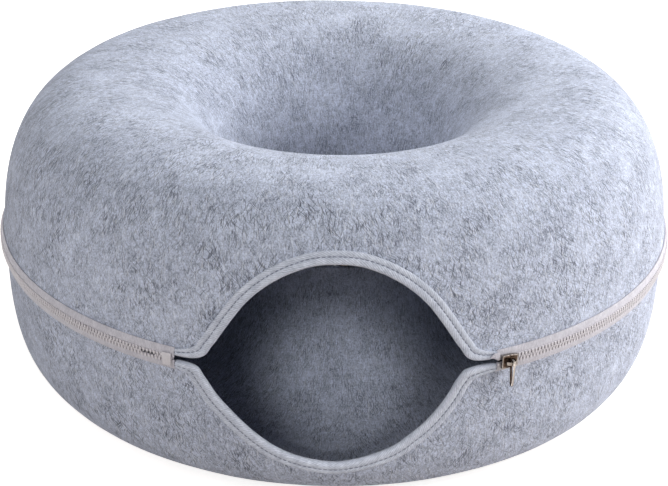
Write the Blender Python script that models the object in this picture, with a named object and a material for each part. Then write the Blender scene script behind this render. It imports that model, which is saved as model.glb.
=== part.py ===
"""A round felt cat tunnel: two moulded half shells, closed by a separating zip round the outside and another
round the waist of the hole, with an eye-shaped entrance at the front that is edged with folded tape.

Metres, +Z up, the front at -Y. The base rests on z = 0 and the axis of the ring is the Z axis. The halves are
drawn about the seam plane, which their parent empties carry. A place on the felt is given by its azimuth,
counted from the front towards +X, and by its reach, the distance along the outer surface from the seam."""

import math
from collections import namedtuple

import bmesh
import bpy
import numpy as np
from mathutils import Matrix, Vector

# The felt ring
SEAM_RADIUS = 0.250
TEETH_STAND = 0.002
SEAM_FLARE = 0.002
FLARE_REACH = 0.009
WALL_RADIUS = SEAM_RADIUS - TEETH_STAND - SEAM_FLARE
CROWN_INSET = 0.072
CROWN_RADIUS = WALL_RADIUS - CROWN_INSET
HOLE_RADIUS = 0.080
UPPER_HEIGHT = 0.108
LOWER_HEIGHT = 0.107
BASE_SETTLE = 0.0006
FELT_THICKNESS = 0.0045
BOUND_THICKNESS = 0.002
UPPER_WALL_POWER = 2.35
LOWER_WALL_POWER = 3.5
HOLE_WALL_POWER = 2.6

# The entrance, as the clear space inside its binding
ENTRANCE_HALF_WIDTH = 0.107
ENTRANCE_RISE = 0.0715
ENTRANCE_DROP = 0.069
SLIT_HALF_HEIGHT = 0.002
BINDING_WIDTH = 0.0088
BINDING_END_WIDTH = 0.005
BINDING_THICKNESS = 0.0012

# The zips: depth is counted from the faces of the teeth, and height from the seam
CHAIN_HALF_HEIGHT = 0.0029
TEETH_DEPTH = 0.0025
TAPE_THICKNESS = 0.0008
TAPE_HALF_HEIGHT = 0.0076
TAPE_KNEE = 0.0015
STOP_LENGTH = 0.0018
STOP_HEIGHT = 0.0018
BOX_LENGTH = 0.0062
BOX_DROP = 0.0048
BOX_RISE = 0.0042
BOX_WALL = 0.0014
BOX_WEB = 0.0012

# The zip sliders and their pulls
SLIDER_LENGTH = 0.0115
SLIDER_MOUTH_HEIGHT = 0.0094
SLIDER_TAIL_HEIGHT = 0.0078
PLATE_THICKNESS = 0.0013
FLANGE_WIDTH = 0.0009
POST_THICKNESS = 0.0009
POST_LENGTH = 0.004
POST_SETBACK = 0.0007
BRIDGE_SPAN = 0.0064
BRIDGE_HEIGHT = 0.00305
BRIDGE_WIDTH = 0.0022
BRIDGE_THICKNESS = 0.0012
BRIDGE_CORNER = 0.001
PULL_LENGTH = 0.017
PULL_RIM = 0.00115
PULL_END_RADIUS = 0.0015
PULL_END_SLOT_RADIUS = 0.0005
PULL_THICKNESS = 0.0012

# Clearances
TOUCH_GAP = 0.0003
RUNNING_GAP = 0.00065
SLOT_GAP = 0.00055
PULL_GAP = 0.00035
OVERLAP = 0.0003

# Facets
RING_STEPS = 52
WAIST_STEPS = 48
WALL_ROWS = 6
HOLE_ROWS = 6
MERIDIAN_STEPS = 720
PULL_ARC_STEPS = 6

# The eye's edge, from its middle to its corner: shares of the half width, and of the rise or the drop. The lower
# edge hangs lower on the left, beside the box, where nothing holds the corner up.
RISE_SHARES = (
    (0.0, 1.0), (0.13, 0.987), (0.25, 0.939), (0.36, 0.866), (0.46, 0.769), (0.55, 0.645),
    (0.63, 0.488), (0.7, 0.327), (0.765, 0.18), (0.85, 0.05), (1.0, 0.0),
)
LEFT_DROP_SHARES = (
    (0.0, 1.0), (0.13, 0.978), (0.25, 0.928), (0.36, 0.852), (0.46, 0.747), (0.56, 0.617),
    (0.65, 0.482), (0.74, 0.335), (0.82, 0.165), (0.89, 0.04), (1.0, 0.0),
)
RIGHT_DROP_SHARES = (
    (0.0, 1.0), (0.13, 0.967), (0.25, 0.902), (0.36, 0.825), (0.46, 0.705), (0.55, 0.585),
    (0.63, 0.447), (0.7, 0.298), (0.76, 0.135), (0.82, 0.04), (1.0, 0.0),
)

Half = namedtuple("Half", "name side height settle wall_power arch_height arch_shares")
UPPER = Half("upper", 1, UPPER_HEIGHT, 0.0, UPPER_WALL_POWER, ENTRANCE_RISE, (RISE_SHARES, RISE_SHARES))
LOWER = Half("lower", -1, LOWER_HEIGHT, BASE_SETTLE, LOWER_WALL_POWER, ENTRANCE_DROP,
             (LEFT_DROP_SHARES, RIGHT_DROP_SHARES))
HALVES = (LOWER, UPPER)

Zip = namedtuple("Zip", "name face radius end_angle azimuths")


def rounded(value, power):
    """A cosine or sine on a superellipse of this power."""
    return math.copysign(abs(value) ** (2 / power), value)


def section_point(half, angle):
    """Radius and height above the seam of the felt's outer surface: angle 0 at the seam, pi at the waist."""
    tall = half.height + half.settle
    if angle <= math.pi / 2:
        power, reach = half.wall_power, WALL_RADIUS - CROWN_RADIUS
    else:
        power, reach = HOLE_WALL_POWER, CROWN_RADIUS - HOLE_RADIUS
    height = min(tall * rounded(math.sin(angle), power), half.height)
    radius = CROWN_RADIUS + reach * rounded(math.cos(angle), power)
    if angle <= math.pi / 2:
        radius += SEAM_FLARE * math.exp(-((height / FLARE_REACH) ** 2))
    return radius, height


def crown_angles(half):
    """Where the outer wall meets the flat that the half has settled on, and where the flat meets the hole wall.
    Both are the crown itself on the half that carries nothing."""
    settled = half.height / (half.height + half.settle)
    return math.asin(settled ** (half.wall_power / 2)), math.pi - math.asin(settled ** (HOLE_WALL_POWER / 2))


class Surface:
    """The outer surface of one half, by azimuth and reach."""

    def __init__(self, half):
        self.half = half
        self.crown = crown_angles(half)
        self.angles = np.union1d(np.linspace(0, math.pi, MERIDIAN_STEPS + 1), self.crown)
        points = np.array([section_point(half, angle) for angle in self.angles])
        self.radii, self.heights = points.T
        steps = np.hypot(np.diff(self.radii), np.diff(self.heights))
        self.reaches = np.concatenate([[0], np.cumsum(steps)])
        self.length = self.reaches[-1]
        along = np.gradient(points, axis=0)
        along /= np.linalg.norm(along, axis=1)[:, None]
        self.normals = np.stack([along[:, 1], -along[:, 0]], axis=1)

    def reach_at_height(self, height):
        """The reach on the outer wall at a height above the seam."""
        crown = int(np.argmax(self.heights))
        return float(np.interp(height, self.heights[:crown + 1], self.reaches[:crown + 1]))

    def reach_at_angle(self, angle):
        return float(np.interp(angle, self.angles, self.reaches))

    def radius_at(self, reach):
        return float(np.interp(reach, self.reaches, self.radii))

    def point(self, azimuth, reach, lift=0.0):
        """The place at this azimuth and reach, lifted off the surface."""
        radius, height = (np.interp(reach, self.reaches, row) for row in (self.radii, self.heights))
        outwards, upwards = (np.interp(reach, self.reaches, row) for row in self.normals.T)
        return around(azimuth, radius + lift * outwards, self.half.side * (height + lift * upwards))


def around(azimuth, radius, height):
    """A point at this azimuth from the front, radius from the axis and height above the seam."""
    return Vector((radius * math.sin(azimuth), -radius * math.cos(azimuth), height))


def material(name, colour, roughness, metallic=0.0):
    made = bpy.data.materials.new(name)
    made.use_nodes = True
    shader = made.node_tree.nodes["Principled BSDF"]
    shader.inputs["Base Color"].default_value = (*colour, 1)
    shader.inputs["Roughness"].default_value = roughness
    shader.inputs["Metallic"].default_value = metallic
    return made


def place(name, mesh, parent, finish, location=(0, 0, 0)):
    """Put a finished bmesh into the scene as a named object."""
    bmesh.ops.recalc_face_normals(mesh, faces=mesh.faces)
    data = bpy.data.meshes.new(name)
    mesh.to_mesh(data)
    mesh.free()
    data.shade_smooth()
    data.set_sharp_from_angle(angle=math.radians(35))
    data.materials.append(finish)
    made = bpy.data.objects.new(name, data)
    made.location = location
    made.parent = parent
    bpy.context.scene.collection.objects.link(made)
    return made


def empty(name, height=0.0):
    made = bpy.data.objects.new(name, None)
    made.location = (0, 0, height)
    bpy.context.scene.collection.objects.link(made)
    return made


def loft(sections, closed=False):
    """Join equal closed outlines in turn. Each face is split on the same diagonal, so that strips that lie on
    each other have the same facets."""
    mesh = bmesh.new()
    rings = [[mesh.verts.new(point) for point in section] for section in sections]
    pairs = list(zip(rings, rings[1:]))
    if closed:
        pairs.append((rings[-1], rings[0]))
    for near, far in pairs:
        for here in range(len(near)):
            there = (here + 1) % len(near)
            mesh.faces.new((near[here], near[there], far[there]))
            mesh.faces.new((near[here], far[there], far[here]))
    if not closed:
        mesh.faces.new(rings[0])
        mesh.faces.new(rings[-1])
    return mesh


def arch_path(surface):
    """The entrance's edge from the left corner to the right: azimuth, reach, and the direction across it, into
    the felt, as steps of azimuth and reach for each metre."""
    half = surface.half
    corner = ENTRANCE_HALF_WIDTH / SEAM_RADIUS
    left, right = ([(side * across * corner, max(up * half.arch_height, SLIT_HALF_HEIGHT)) for across, up in shares]
                   for side, shares in zip((-1, 1), half.arch_shares))
    path = [(azimuth, surface.reach_at_height(height)) for azimuth, height in left[:0:-1] + right]
    stations = []
    for place_number, (azimuth, reach) in enumerate(path):
        radius = surface.radius_at(reach)
        across = (0.0, 1.0)
        if 0 < place_number < len(path) - 1:
            before, after = path[place_number - 1], path[place_number + 1]
            run, rise = (after[0] - before[0]) * radius, after[1] - before[1]
            across = (-rise / math.hypot(run, rise) / radius, run / math.hypot(run, rise))
        stations.append((azimuth, reach, across))
    return stations


def binding_width(azimuth):
    """The folded tape narrows where it is tucked in at the corners."""
    from_corner = ENTRANCE_HALF_WIDTH - abs(azimuth) * SEAM_RADIUS
    share = min(from_corner / (2 * BINDING_WIDTH), 1)
    return BINDING_END_WIDTH + (BINDING_WIDTH - BINDING_END_WIDTH) * share


def beside(station, distance):
    """The azimuth and reach at this distance from the entrance's edge."""
    azimuth, reach, across = station
    return azimuth + across[0] * distance, reach + across[1] * distance


def outer_azimuths():
    """The zip's stations round the back, from the right corner of the entrance to the left one."""
    corner = ENTRANCE_HALF_WIDTH / SEAM_RADIUS
    first = corner + TOUCH_GAP / SEAM_RADIUS
    trimmed = first + STOP_LENGTH / 2 / SEAM_RADIUS
    ring = np.linspace(trimmed, math.tau - trimmed, RING_STEPS + 1)
    return [first, *ring, math.tau - first]


def felt_edge():
    """How far the felt stops from the seam, behind the tape, to leave room for the slider's back plate."""
    return SLIDER_MOUTH_HEIGHT / 2 + TOUCH_GAP + TOUCH_GAP


def felt_shell(surface, parent, finish):
    """One moulded half: each column runs from the outer edge over the crown to the waist. Under the binding the
    felt is pressed thin."""
    half = surface.half
    edges = []
    for station in arch_path(surface):
        edges.append((beside(station, BINDING_THICKNESS + TOUCH_GAP), beside(station, binding_width(station[0])),
                      BOUND_THICKNESS))
    for azimuth in outer_azimuths()[1:-1]:
        edges.append(((azimuth, surface.reach_at_height(felt_edge())),
                      (azimuth, surface.reach_at_height(TAPE_HALF_HEIGHT)), FELT_THICKNESS))
    waist = float(np.interp(surface.length - felt_edge(), surface.reaches, surface.angles))
    crown, past_crown = surface.crown
    if half.settle == 0:
        past_crown += (waist - past_crown) / HOLE_ROWS
    sections = []
    for edge, covered, pressed in edges:
        start = float(np.interp(covered[1], surface.reaches, surface.angles))
        angles = [*np.linspace(start, crown, WALL_ROWS + 1)[1:], *np.linspace(past_crown, waist, HOLE_ROWS)]
        free = [(covered[0], surface.reach_at_angle(angle)) for angle in angles]
        outside = [surface.point(azimuth, reach) for azimuth, reach in (edge, covered, *free)]
        inside = [surface.point(azimuth, reach, -pressed) for azimuth, reach in (edge, covered)]
        inside += [surface.point(azimuth, reach, -FELT_THICKNESS) for azimuth, reach in free]
        sections.append(outside + inside[::-1])
    place(f"{half.name}_felt_shell", loft(sections, closed=True), parent, finish)


def entrance_binding(surface, parent, finish):
    """Tape folded over the cut edge of the entrance, with a leg on each face of the felt."""
    near, far = TOUCH_GAP, TOUCH_GAP + BINDING_THICKNESS
    sections = []
    for station in arch_path(surface):
        edge = beside(station, 0)
        fold = beside(station, BINDING_THICKNESS)
        end = beside(station, binding_width(station[0]))
        outline = (
            (edge, -BOUND_THICKNESS - far), (end, -BOUND_THICKNESS - far), (end, -BOUND_THICKNESS - near),
            (fold, -BOUND_THICKNESS - near), (fold, near), (end, near), (end, far), (edge, far),
        )
        sections.append([surface.point(*at, lift) for at, lift in outline])
    place(f"{surface.half.name}_entrance_binding", loft(sections), parent, finish)


def chain_block(closure, start, end, heights, depths, side=1):
    """A straight block on the chain between two azimuths."""
    sections = []
    for azimuth in (start, end):
        outline = [(heights[0], depths[0]), (heights[1], depths[0]), (heights[1], depths[1]), (heights[0], depths[1])]
        sections.append([around(azimuth, closure.radius - closure.face * depth, side * height)
                         for height, depth in outline])
    return loft(sections)


def tape_depths():
    """The tape runs through the middle of the teeth."""
    return TEETH_DEPTH / 2 - TAPE_THICKNESS / 2, TEETH_DEPTH / 2 + TAPE_THICKNESS / 2


def tooth_gap():
    """Half the space between the two rows, which lets the slider's post run between them."""
    return POST_THICKNESS / 2 + TOUCH_GAP


def chain_places(closure):
    """Azimuths along one zip: stop, slider, the first and last tooth, and the box."""
    stop = closure.end_angle + TOUCH_GAP / closure.radius
    slider = stop + (STOP_LENGTH + TOUCH_GAP) / closure.radius
    first_tooth = slider + (SLIDER_LENGTH + TOUCH_GAP) / closure.radius
    box_end = math.tau - closure.end_angle - (STOP_LENGTH + TOUCH_GAP) / closure.radius
    box = box_end - BOX_LENGTH / closure.radius
    return {"stop": stop, "slider": slider, "first_tooth": first_tooth, "box": box, "box_end": box_end,
            "last_tooth": box - TOUCH_GAP / closure.radius}


def zip_tape(closure, surface, parent, finish):
    """A woven tape: its knee stands at the teeth and its far edge lies on the felt."""
    side = surface.half.side
    front, back = tape_depths()
    chain_edge = CHAIN_HALF_HEIGHT + TOUCH_GAP
    knee = chain_edge + TAPE_KNEE
    reach = surface.reach_at_height(TAPE_HALF_HEIGHT)
    if closure.face < 0:
        reach = surface.length - TAPE_HALF_HEIGHT
    sections = []
    for azimuth in closure.azimuths:
        chain = [around(azimuth, closure.radius - closure.face * depth, side * height)
                 for height, depth in ((knee, back), (chain_edge, back), (chain_edge, front), (knee, front))]
        felt = [surface.point(azimuth, reach, lift) for lift in (TOUCH_GAP + TAPE_THICKNESS, TOUCH_GAP)]
        sections.append(chain + felt)
    place(f"{closure.name}_{surface.half.name}_tape", loft(sections), parent, finish)


def zip_teeth(closure, half, parent, finish):
    """One row of moulded teeth, as the bar that fills their outline."""
    places = chain_places(closure)
    inside = [a for a in closure.azimuths if places["first_tooth"] < a < places["last_tooth"]]
    sections = []
    for azimuth in (places["first_tooth"], *inside, places["last_tooth"]):
        sections.append([around(azimuth, closure.radius - closure.face * depth, half.side * height)
                         for height, depth in ((tooth_gap(), 0), (CHAIN_HALF_HEIGHT, 0),
                                               (CHAIN_HALF_HEIGHT, TEETH_DEPTH), (tooth_gap(), TEETH_DEPTH))])
    place(f"{closure.name}_{half.name}_teeth", loft(sections), parent, finish)


def zip_stop(closure, half, parent, finish):
    """The small block beside the first tooth that the closed slider stands against."""
    start = chain_places(closure)["stop"]
    heights = (CHAIN_HALF_HEIGHT - STOP_HEIGHT, CHAIN_HALF_HEIGHT)
    mesh = chain_block(closure, start, start + STOP_LENGTH / closure.radius, heights, (0, TEETH_DEPTH), half.side)
    place(f"{closure.name}_{half.name}_stop", mesh, parent, finish)


def box_depths():
    """The insides of the box's walls: the tape's flat facets come nearer the back one between their corners."""
    front, back = tape_depths()
    return front - TOUCH_GAP, back + RUNNING_GAP


def zip_box(closure, parent, finish):
    """The retainer box: two walls on a web, round the edge of the lower tape and the pin of the upper one."""
    places = chain_places(closure)
    front, back = box_depths()
    web_top = -tooth_gap()
    outline = (
        (-BOX_DROP, front - BOX_WALL), (BOX_RISE, front - BOX_WALL), (BOX_RISE, front), (web_top, front),
        (web_top, back), (BOX_RISE, back), (BOX_RISE, back + BOX_WALL), (-BOX_DROP, back + BOX_WALL),
        (-BOX_DROP, back), (web_top - BOX_WEB, back), (web_top - BOX_WEB, front), (-BOX_DROP, front),
    )
    sections = [[around(azimuth, closure.radius - closure.face * depth, height) for height, depth in outline]
                for azimuth in (places["box"], places["box_end"])]
    place(f"{closure.name}_box", loft(sections), parent, finish)


def zip_pin(closure, parent, finish):
    """The blade at the end of the upper tape that stands in the box."""
    places = chain_places(closure)
    front, back = box_depths()
    mesh = chain_block(closure, places["box"], places["box_end"], (TOUCH_GAP - tooth_gap(), CHAIN_HALF_HEIGHT),
                       (front + TOUCH_GAP, back - TOUCH_GAP))
    place(f"{closure.name}_pin", mesh, parent, finish)


def slider_place(closure):
    """Where a slider stands at rest: X along the zip, Y up and Z out of its face, from the seam at the tooth
    faces."""
    azimuth = chain_places(closure)["slider"] + SLIDER_LENGTH / 2 / closure.radius
    along = Vector((math.cos(azimuth), math.sin(azimuth), 0)) * closure.face
    upwards = Vector((0, 0, 1))
    turned = Matrix((along, upwards, along.cross(upwards))).transposed().to_4x4()
    return Matrix.Translation(around(azimuth, closure.radius, 0)) @ turned


def slider_plate(mouth, face, outer, flange):
    """One plate with its two edges turned in, from face to outer, its flanges ending at flange. Its mouth is at
    the side of X that mouth gives."""
    sections = []
    for along, tall in ((-SLIDER_LENGTH / 2, SLIDER_TAIL_HEIGHT), (0, SLIDER_MOUTH_HEIGHT),
                        (SLIDER_LENGTH / 2, SLIDER_MOUTH_HEIGHT)):
        edge, inner = tall / 2, tall / 2 - FLANGE_WIDTH
        outline = ((-edge, outer), (edge, outer), (edge, flange), (inner, flange),
                   (inner, face), (-inner, face), (-inner, flange), (-edge, flange))
        sections.append([Vector((mouth * along, across, level)) for across, level in outline])
    return loft(sections)


def slider_bridge(plate):
    """The arch along the slider's face that holds the pull."""
    half, corner = BRIDGE_SPAN / 2, BRIDGE_CORNER
    top = plate + BRIDGE_HEIGHT
    line = [Vector((-half, plate - OVERLAP)), Vector((-half, top - corner)), Vector((-half + corner, top)),
            Vector((half - corner, top)), Vector((half, top - corner)), Vector((half, plate - OVERLAP))]
    sections = []
    for number, point in enumerate(line):
        before, after = line[max(number - 1, 0)], line[min(number + 1, len(line) - 1)]
        along = (after - before).normalized()
        outwards = Vector((-along.y, along.x)) * BRIDGE_THICKNESS / 2
        sections.append([Vector((spot.x, side * BRIDGE_WIDTH / 2, spot.y))
                         for spot, side in ((point - outwards, -1), (point - outwards, 1),
                                            (point + outwards, 1), (point + outwards, -1))])
    return loft(sections)


def slider(closure, parent, finish):
    """Two plates on a post, which runs between the rows of teeth, and a bridge for the pull."""
    mouth = -closure.face
    plate_face = RUNNING_GAP
    plate_outer = plate_face + PLATE_THICKNESS
    back_face = -TEETH_DEPTH - RUNNING_GAP
    front, back = tape_depths()
    post = bmesh.new()
    bmesh.ops.create_cube(post, size=1)
    tall = plate_face - back_face + 2 * OVERLAP
    post_middle = (mouth * (SLIDER_LENGTH / 2 - POST_SETBACK - POST_LENGTH / 2), 0, (plate_face + back_face) / 2)
    post_scale = Matrix.Diagonal((POST_LENGTH, POST_THICKNESS, tall, 1))
    bmesh.ops.transform(post, verts=post.verts, matrix=Matrix.Translation(post_middle) @ post_scale)
    front_plate = slider_plate(mouth, plate_face, plate_outer, -front + SLOT_GAP)
    body = place(f"{closure.name}_slider", front_plate, parent, finish)
    body.matrix_basis = slider_place(closure)
    others = (
        (slider_plate(mouth, back_face, back_face - PLATE_THICKNESS, -back - RUNNING_GAP), "back_plate"),
        (post, "post"),
        (slider_bridge(plate_outer), "bridge"),
    )
    for mesh, name in others:
        other = place(f"{closure.name}_slider_{name}", mesh, body, finish)
        other.hide_render = True
        other.display_type = "WIRE"
        join = body.modifiers.new(name, "BOOLEAN")
        join.operation = "UNION"
        join.solver = "EXACT"
        join.object = other
    return body


def pull_outline(top_radius, end_radius):
    """A long loop round the bridge's bar at the origin, hanging down, as height and place across."""
    points = []
    for step in range(PULL_ARC_STEPS + 1):
        turn = math.pi * step / PULL_ARC_STEPS
        points.append(Vector((top_radius * math.sin(turn), top_radius * math.cos(turn))))
    end = PULL_END_RADIUS - PULL_LENGTH
    for step in range(PULL_ARC_STEPS + 1):
        turn = math.pi * (1 + step / PULL_ARC_STEPS)
        points.append(Vector((end + end_radius * math.sin(turn), end_radius * math.cos(turn))))
    return points


def pull(closure, carrier, finish):
    """The stamped loop that hangs on the slider's bridge and swings about its bar."""
    bar = (0, 0, RUNNING_GAP + PLATE_THICKNESS + BRIDGE_HEIGHT)
    slot = BRIDGE_WIDTH / 2 + PULL_GAP
    rims = zip(pull_outline(slot + PULL_RIM, PULL_END_RADIUS), pull_outline(slot, PULL_END_SLOT_RADIUS))
    sections = []
    for outer, inner in rims:
        sections.append([Vector((side * PULL_THICKNESS / 2, *spot))
                         for spot, side in ((outer, -1), (outer, 1), (inner, 1), (inner, -1))])
    place(f"{closure.name}_pull", loft(sections, closed=True), carrier, finish, bar)


def main():
    for leftover in list(bpy.data.objects):
        bpy.data.objects.remove(leftover)
    felt = material("felt", (0.40, 0.42, 0.47), 0.95)
    twill = material("twill_binding", (0.42, 0.45, 0.51), 0.85)
    tape = material("zip_tape", (0.50, 0.48, 0.50), 0.85)
    plastic = material("zip_plastic", (0.52, 0.50, 0.51), 0.45)
    metal = material("zip_metal", (0.20, 0.16, 0.13), 0.30, 1.0)

    outer = Zip("outer_zip", 1, SEAM_RADIUS, ENTRANCE_HALF_WIDTH / SEAM_RADIUS, outer_azimuths())
    waist_radius = HOLE_RADIUS - TOUCH_GAP - tape_depths()[1]
    waist_end = TOUCH_GAP / waist_radius
    waist = Zip("inner_zip", -1, waist_radius, waist_end,
                list(np.linspace(waist_end, math.tau - waist_end, WAIST_STEPS + 1)))

    roots = {half: empty(f"{half.name}_half", LOWER_HEIGHT) for half in HALVES}
    for half, root in roots.items():
        surface = Surface(half)
        felt_shell(surface, root, felt)
        entrance_binding(surface, root, twill)
        for closure in (outer, waist):
            zip_tape(closure, surface, root, tape)
            zip_teeth(closure, half, root, plastic)
            zip_stop(closure, half, root, plastic)
    for closure in (outer, waist):
        zip_box(closure, roots[LOWER], plastic)
        zip_pin(closure, roots[UPPER], plastic)
        body = slider(closure, roots[LOWER], metal)
        pull(closure, body, metal)


main()
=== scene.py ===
"""The looks of a round felt cat tunnel: two moulded felt halves, closed by a zip round the outside and one round
the waist of the hole, with folded twill tape round the eye-shaped entrance.

Metres, +Z up, the entrance at -Y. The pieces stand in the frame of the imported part, in the order in which the
tunnel is sewn and zipped together, and the studio comes last. A place on a half is given by its azimuth, counted
from the front towards +X, and by its turn on the section, from the seam (0) over the crown to the waist (pi)."""

import math

import bmesh
import bpy
import numpy as np
from mathutils import Matrix, Vector


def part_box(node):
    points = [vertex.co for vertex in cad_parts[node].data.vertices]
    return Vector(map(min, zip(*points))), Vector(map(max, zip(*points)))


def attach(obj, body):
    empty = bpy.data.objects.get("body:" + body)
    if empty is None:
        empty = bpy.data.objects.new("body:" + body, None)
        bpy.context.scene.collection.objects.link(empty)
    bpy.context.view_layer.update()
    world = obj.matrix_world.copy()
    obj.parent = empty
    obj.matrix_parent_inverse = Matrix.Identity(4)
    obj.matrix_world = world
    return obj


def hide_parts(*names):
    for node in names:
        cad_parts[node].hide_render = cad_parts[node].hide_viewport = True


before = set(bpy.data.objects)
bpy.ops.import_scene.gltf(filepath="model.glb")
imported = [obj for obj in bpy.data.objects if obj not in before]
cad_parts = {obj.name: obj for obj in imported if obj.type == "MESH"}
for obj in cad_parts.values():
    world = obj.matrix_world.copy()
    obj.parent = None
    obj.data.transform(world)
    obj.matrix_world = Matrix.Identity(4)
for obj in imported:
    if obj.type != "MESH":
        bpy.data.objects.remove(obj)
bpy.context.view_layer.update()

# Felt half shells. Grey melange polyester felt, needle-punched and moulded hot into half a ring. Dark and pale
# fibres are mixed in the web, so the colour is cloudy close up, and the surface is soft, matt and slightly hairy.
SEAM_HEIGHT = (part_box("outer_zip_lower_teeth")[1].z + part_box("outer_zip_upper_teeth")[0].z) / 2
SEAM_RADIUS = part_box("outer_zip_upper_teeth")[1].y
UPPER_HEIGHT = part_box("upper_felt_shell")[1].z - SEAM_HEIGHT
LOWER_HEIGHT = SEAM_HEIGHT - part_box("lower_felt_shell")[0].z
FELT_SET_IN = 0.004
CROWN_INSET = 0.072
HOLE_RADIUS = 0.080
SEAM_FLARE = 0.002
FLARE_REACH = 0.009
BASE_SETTLE = 0.0006
UPPER_WALL_POWER = 2.35
LOWER_WALL_POWER = 3.5
HOLE_WALL_POWER = 2.6
FELT_THICKNESS = 0.0045
BOUND_THICKNESS = 0.002
FELT_EDGE = 0.0053
FELT_PUFF = 0.0007
PUFF_HEIGHT = 0.0105
PUFF_REACH = 0.0022
DENT_DEPTH = 0.0011
DENT_SIZE = 0.075
ENTRANCE_HALF_WIDTH = 0.107
ENTRANCE_RISE = 0.0715
ENTRANCE_DROP = 0.069
EDGE_COVER = 0.0035
PRESS_REACH = 0.018
SLIT_HALF_HEIGHT = 0.002
RISE_SHARES = (
    (0.0, 1.0), (0.13, 0.987), (0.25, 0.939), (0.36, 0.866), (0.46, 0.769), (0.55, 0.645),
    (0.63, 0.488), (0.7, 0.327), (0.765, 0.18), (0.85, 0.05), (1.0, 0.0),
)
LEFT_DROP_SHARES = (
    (0.0, 1.0), (0.13, 0.978), (0.25, 0.928), (0.36, 0.852), (0.46, 0.747), (0.56, 0.617),
    (0.65, 0.482), (0.74, 0.335), (0.82, 0.165), (0.89, 0.04), (1.0, 0.0),
)
RIGHT_DROP_SHARES = (
    (0.0, 1.0), (0.13, 0.967), (0.25, 0.902), (0.36, 0.825), (0.46, 0.705), (0.55, 0.585),
    (0.63, 0.447), (0.7, 0.298), (0.76, 0.135), (0.82, 0.04), (1.0, 0.0),
)
FELT_COLUMNS = 480
FELT_ROWS = 56
MERGE_DISTANCE = 1e-5
# The web's marks: how many come in a metre (they are 25 mm, 5 mm and 1 mm wide), the noise's roughness and
# distortion, and the mark's share in the shade.
WEB_MARKS = {"clouds": (40, 0.5, 0.0, 0.18), "flocks": (200, 0.5, 0.8, 0.24), "grain": (900, 0.6, 0.5, 0.58)}
WEB_SHADES = ((0.34, "#7C8191"), (0.43, "#A6ACBD"), (0.51, "#BCC3D5"), (0.62, "#D6DDEF"))
# Fibres are 0.8 mm apart, lie in locks 22 mm wide, and bend by a few millimetres within 28 mm.
FIBRES_PER_METRE = 1200
FIBRE_EDGE = (0.635, 0.70)
FIBRE_SLIMNESS = 6
FIBRE_SLANTS = (0.0, 0.18, -0.2, 0.5, 0.07)
FIBRE_LAYER_STEP = 1.7
SECTION_RADIUS = 0.09
LOCKS_PER_METRE = 45
LOCK_EDGE = (0.38, 0.64)
BENDS_PER_METRE = 36
BEND_SIZE = 0.007
DARK_FIBRE, DARK_FIBRE_AMOUNTS = "#4C4F5B", (0.18, 0.66)
PALE_FIBRE, PALE_FIBRE_AMOUNT = "#F0F3FA", 0.35
NAP_HEIGHT = 0.0009

HALVES = {
    "lower": {"side": -1, "height": LOWER_HEIGHT, "settle": BASE_SETTLE, "power": LOWER_WALL_POWER,
              "arch": ENTRANCE_DROP, "shares": (LEFT_DROP_SHARES, RIGHT_DROP_SHARES)},
    "upper": {"side": 1, "height": UPPER_HEIGHT, "settle": 0.0, "power": UPPER_WALL_POWER,
              "arch": ENTRANCE_RISE, "shares": (RISE_SHARES, RISE_SHARES)},
}


def add(tree, kind, inputs=None, **settings):
    """Add a node with these settings and inputs."""
    made = tree.nodes.new(kind)
    for name, value in settings.items():
        setattr(made, name, value)
    feed(tree, made, inputs or {})
    return made


def feed(tree, node, inputs):
    """Give a node's inputs, by name or number, a value, a socket, or a node, which stands for its first output."""
    for name, value in inputs.items():
        if isinstance(value, bpy.types.Node):
            value = value.outputs[0]
        if isinstance(value, bpy.types.NodeSocket):
            tree.links.new(value, node.inputs[name])
        else:
            node.inputs[name].default_value = value


def node_group(name, **inputs):
    """A Geometry Nodes tree with these named inputs, given by their kind, its input node and its output node."""
    tree = bpy.data.node_groups.new(name, "GeometryNodeTree")
    tree.interface.new_socket("Geometry", in_out="INPUT", socket_type="NodeSocketGeometry")
    for kind, sockets in inputs.items():
        for socket in sockets:
            tree.interface.new_socket(socket, in_out="INPUT", socket_type=f"NodeSocket{kind}")
    tree.interface.new_socket("Geometry", in_out="OUTPUT", socket_type="NodeSocketGeometry")
    return tree, add(tree, "NodeGroupInput"), add(tree, "NodeGroupOutput")


def finish_group(tree, out, geometry, material):
    """End a tree in real geometry of this material."""
    real = add(tree, "GeometryNodeRealizeInstances", {"Geometry": geometry})
    feed(tree, out, {"Geometry": add(tree, "GeometryNodeSetMaterial", {"Geometry": real, "Material": material})})


def linked(name, data):
    """An object with this data, in the scene."""
    made = bpy.data.objects.new(name, data)
    bpy.context.scene.collection.objects.link(made)
    return made


def grown(name, tree, values, start=None):
    """Run a tree on a start mesh with its named inputs set, and return the result as a plain mesh object."""
    seed = linked(name, start or bpy.data.meshes.new(name))
    grow = seed.modifiers.new("grow", "NODES")
    grow.node_group = tree
    names = {item.name: item.identifier for item in tree.interface.items_tree if item.in_out == "INPUT"}
    for label, value in values.items():
        grow[names[label]] = value
    bpy.context.view_layer.update()
    data = bpy.data.meshes.new_from_object(seed.evaluated_get(bpy.context.evaluated_depsgraph_get()))
    bpy.data.objects.remove(seed)
    data.name = name
    return linked(name, data)


def colour(code):
    """An sRGB hex colour as linear light."""
    parts = [int(code[start:start + 2], 16) / 255 for start in (1, 3, 5)]
    return (*[part / 12.92 if part <= 0.04045 else ((part + 0.055) / 1.055) ** 2.4 for part in parts], 1.0)


def surface(name, **sockets):
    """A material with its Principled shader set, and its node tree and shader to build on."""
    made = bpy.data.materials.new(name)
    made.use_nodes = True
    shader = made.node_tree.nodes["Principled BSDF"]
    feed(made.node_tree, shader, {socket.replace("_", " "): value for socket, value in sockets.items()})
    return made, made.node_tree, shader


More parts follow.
